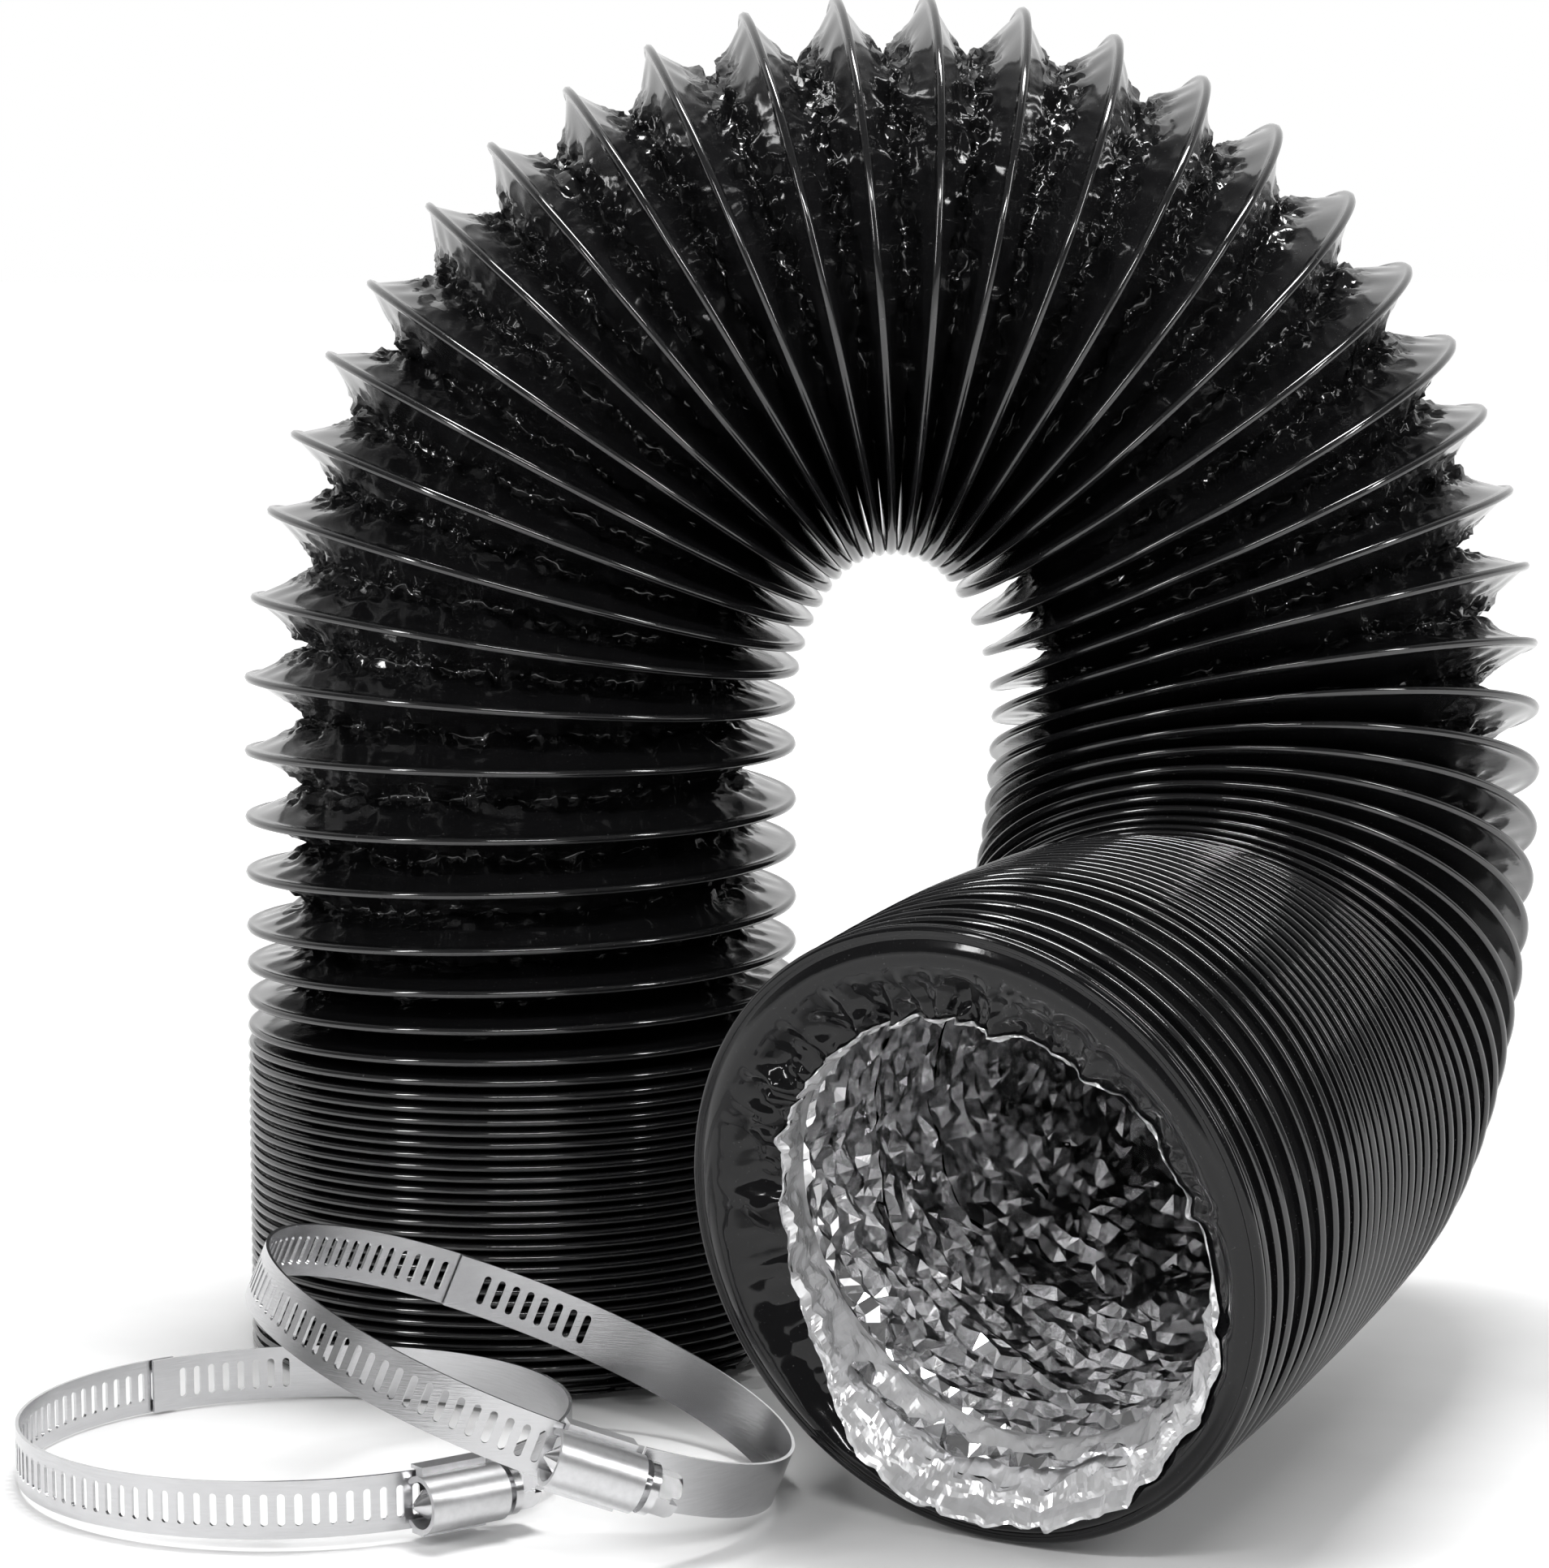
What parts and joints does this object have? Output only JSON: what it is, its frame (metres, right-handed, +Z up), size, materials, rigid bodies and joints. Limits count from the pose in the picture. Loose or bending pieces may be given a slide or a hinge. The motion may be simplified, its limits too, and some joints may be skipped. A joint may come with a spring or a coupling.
{
  "type": "flexible air duct",
  "caption": "Flexible pleated air duct: a spring-wire helix between a black film sleeve and a foil liner, standing in an arch, with two worm-drive band clamps.",
  "frame": {"origin": "centre of the standing end's opening, on the surface it stands on", "axes": "+Z up along the standing end's axis, +X towards the arch's other leg, -Y towards the side of the open mouth"},
  "size_m": [0.2887, 0.24, 0.2679],
  "materials": {
    "film": "glossy black film",
    "wire": "drawn spring wire",
    "foil": "bright crumpled foil",
    "band_steel": "bright rolled strip",
    "housing_steel": "satin pressed steel",
    "screw_steel": "bright plated steel"
  },
  "bodies": {
    "standing_end": {"base_sleeve": "film", "base_wire": "wire", "base_foil": "foil", "left_stretch_sleeve": "film", "left_stretch_wire": "wire", "left_stretch_foil": "foil", "standing_cuff": "film"},
    "arch_left": {"left_shoulder_sleeve": "film", "left_shoulder_wire": "wire", "left_shoulder_foil": "foil", "crown_sleeve": "film", "crown_wire": "wire", "crown_foil": "foil"},
    "arch_right": {"crown_end_sleeve": "film", "crown_end_wire": "wire", "crown_end_foil": "foil", "right_shoulder_sleeve": "film", "right_shoulder_wire": "wire", "right_shoulder_foil": "foil", "right_leg_sleeve": "film", "right_leg_wire": "wire", "right_leg_foil": "foil", "elbow_sleeve": "film", "elbow_wire": "wire", "elbow_foil": "foil"},
    "mouth_run": {"run_start_sleeve": "film", "run_start_wire": "wire", "run_start_foil": "foil", "run_stretch_sleeve": "film", "run_stretch_wire": "wire", "run_stretch_foil": "foil"},
    "mouth_slide": {"run_end_sleeve": "film", "run_end_wire": "wire", "run_end_foil": "foil", "nod_sleeve": "film", "nod_wire": "wire", "nod_foil": "foil"},
    "mouth_end": {"mouth_sleeve": "film", "mouth_wire": "wire", "mouth_foil": "foil", "mouth_cuff": "film"},
    "clamp_one": {"clamp_one_band": "band_steel", "clamp_one_saddle": "band_steel", "clamp_one_housing": "housing_steel"},
    "clamp_one_strap": {"clamp_one_strap": "band_steel"},
    "clamp_one_screw": {"clamp_one_screw": "screw_steel"},
    "clamp_two": {"clamp_two_band": "band_steel", "clamp_two_saddle": "band_steel", "clamp_two_housing": "housing_steel"},
    "clamp_two_strap": {"clamp_two_strap": "band_steel"},
    "clamp_two_screw": {"clamp_two_screw": "screw_steel"}
  },
  "joints": [
    {"name": "left_leg_stretch", "type": "slide", "parent": "standing_end", "child": "arch_left", "axis": [0, 0, 1], "range_m": [0, 0.12], "deforming": ["left_stretch_sleeve", "left_stretch_wire", "left_stretch_foil"]},
    {"name": "arch_bend", "type": "hinge", "parent": "arch_left", "child": "arch_right", "pos_m": [0.04192, 0, 0.26366], "axis": [0, -1, 0], "range_deg": [0, 30], "deforming": ["crown_sleeve", "crown_wire", "crown_foil"]},
    {"name": "elbow_bend", "type": "hinge", "parent": "arch_right", "child": "mouth_run", "pos_m": [0.15566, 0.0199, 0.03758], "axis": [0.9336, -0.3584, 0], "range_deg": [0, 38], "deforming": ["elbow_sleeve", "elbow_wire", "elbow_foil"]},
    {"name": "run_stretch", "type": "slide", "parent": "mouth_run", "child": "mouth_slide", "axis": [-0.3584, -0.9336, 0], "range_m": [-0.012, 0.03], "deforming": ["run_stretch_sleeve", "run_stretch_wire", "run_stretch_foil"]},
    {"name": "mouth_swivel", "type": "hinge", "parent": "mouth_slide", "child": "mouth_end", "pos_m": [0.0968, -0.13127, 0.05824], "axis": [0, 0, 1], "range_deg": [-12, 12], "deforming": ["nod_sleeve", "nod_wire", "nod_foil"]},
    {"name": "clamp_one_slide", "type": "slide", "parent": "standing_end", "child": "clamp_one", "axis": [-1, 0, 0], "range_m": [0, 0.2]},
    {"name": "clamp_two_lift", "type": "slide", "parent": "clamp_one", "child": "clamp_two", "axis": [-0.5, 0, 0.866], "range_m": [0, 0.15]},
    {"name": "clamp_one_screw_turn", "type": "hinge", "parent": "clamp_one", "child": "clamp_one_screw", "pos_m": [-0.00341, -0.14476, 0.00701], "axis": [0.809, 0.5878, 0], "range_deg": [0, 540]},
    {"name": "clamp_one_draw", "type": "hinge", "parent": "clamp_one", "child": "clamp_one_strap", "pos_m": [-0.064, -0.06137, 0.00503], "axis": [-0.0113, 0.0155, 0.9998], "range_deg": [0, 2.5]},
    {"name": "clamp_two_screw_turn", "type": "hinge", "parent": "clamp_two", "child": "clamp_two_screw", "pos_m": [0.02076, -0.17107, 0.01928], "axis": [0.8901, 0.2694, -0.3677], "range_deg": [0, 540]},
    {"name": "clamp_two_draw", "type": "hinge", "parent": "clamp_two", "child": "clamp_two_strap", "pos_m": [-0.00623, -0.07184, 0.02665], "axis": [0.3732, 0.0326, 0.9272], "range_deg": [0, 2.5]}
  ],
  "couplings": [
    {"joint": "elbow_bend", "follows": "left_leg_stretch", "rad_per_m": 5.5},
    {"joint": "clamp_one_screw_turn", "follows": "clamp_one_draw", "ratio": 214.06},
    {"joint": "clamp_two_screw_turn", "follows": "clamp_two_draw", "ratio": 214.06}
  ]
}
